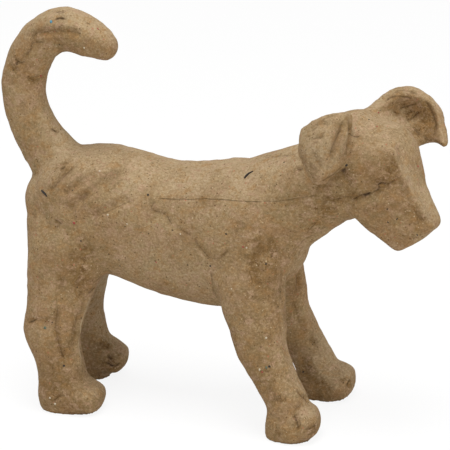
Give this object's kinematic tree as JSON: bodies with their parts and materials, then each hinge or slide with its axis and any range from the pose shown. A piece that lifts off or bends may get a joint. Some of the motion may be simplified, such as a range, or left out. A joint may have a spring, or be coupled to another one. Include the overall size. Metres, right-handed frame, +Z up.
{
  "type": "papier-mache dog",
  "caption": "Blank brown papier-mache dog standing on its paws, tail curled up over its back, head turned and held low, ears folded",
  "frame": {"origin": "On the surface the dog stands on, under the middle of its box.", "axes": "+X towards the nose, +Y to the dog's left, +Z up."},
  "size_m": [0.1432, 0.0524, 0.1275],
  "materials": {
    "kraft_paper": "matte"
  },
  "bodies": {
    "root": {"papier_mache_dog": "kraft_paper"}
  },
  "joints": []
}
